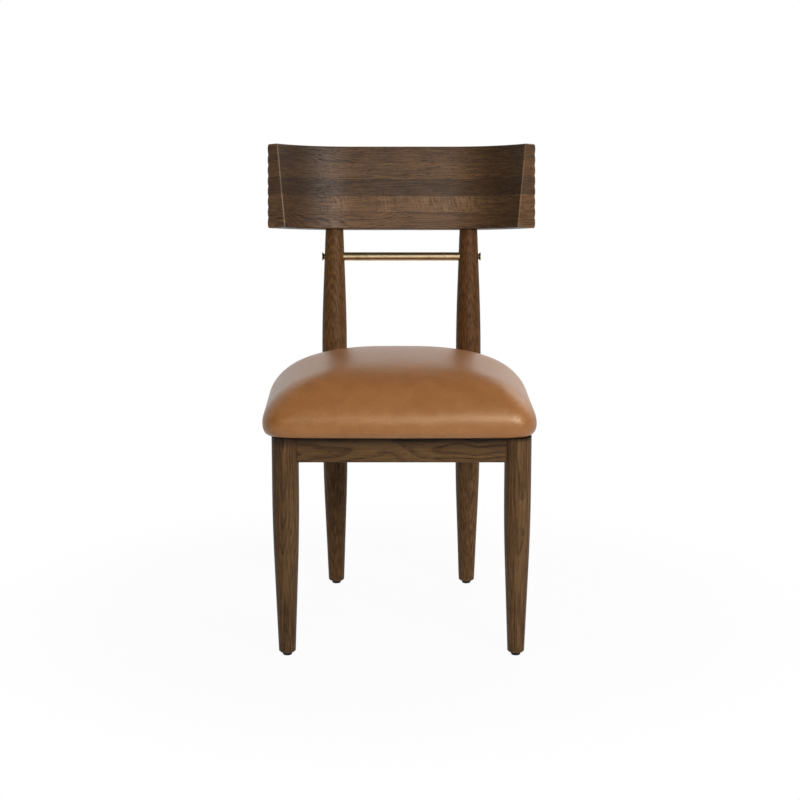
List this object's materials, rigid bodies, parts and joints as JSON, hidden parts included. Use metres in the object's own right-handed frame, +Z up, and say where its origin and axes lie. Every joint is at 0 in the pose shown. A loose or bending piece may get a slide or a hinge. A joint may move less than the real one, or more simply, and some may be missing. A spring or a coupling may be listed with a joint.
{
  "type": "dining chair",
  "caption": "Upholstered dining chair with turned tapered legs, a wide curved backrest reeded at the rear, a brass rod between the posts and a crowned leather seat.",
  "frame": {"origin": "on the floor, under the middle of the chair's bounding box", "axes": "+Z up from the floor, -Y the way the chair faces, +X to the viewer's right when looking at the chair's front"},
  "size_m": [0.4916, 0.5229, 0.8429],
  "materials": {
    "oak": "dark stained oak, satin lacquer",
    "hidden_wood": "raw hardwood",
    "plywood": "raw plywood",
    "leather": "smooth tan leather, light sheen",
    "foam": "upholstery foam",
    "dust_cloth": "black non-woven cloth",
    "brass": "antique brushed brass",
    "screw_steel": "zinc plated",
    "glide_plastic": "black nylon"
  },
  "bodies": {
    "root": {"back_rod": "brass", "backrest": "oak", "block_screws": "screw_steel", "corner_block_front_left": "hidden_wood", "corner_block_front_right": "hidden_wood", "corner_block_rear_left": "hidden_wood", "corner_block_rear_right": "hidden_wood", "crown_pad": "foam", "dust_cover": "dust_cloth", "foot_glide_front_left": "glide_plastic", "foot_glide_front_right": "glide_plastic", "foot_glide_rear_left": "glide_plastic", "foot_glide_rear_right": "glide_plastic", "frame_dowels": "hidden_wood", "front_apron": "oak", "front_leg_left": "oak", "front_leg_right": "oak", "glide_screws": "screw_steel", "rear_apron": "oak", "rear_leg_left": "oak", "rear_leg_right": "oak", "rod_bolt_left": "brass", "rod_bolt_right": "brass", "seat_board": "plywood", "seat_cover": "leather", "seat_foam": "foam", "seat_screws": "screw_steel", "side_apron_left": "oak", "side_apron_right": "oak"}
  },
  "joints": []
}
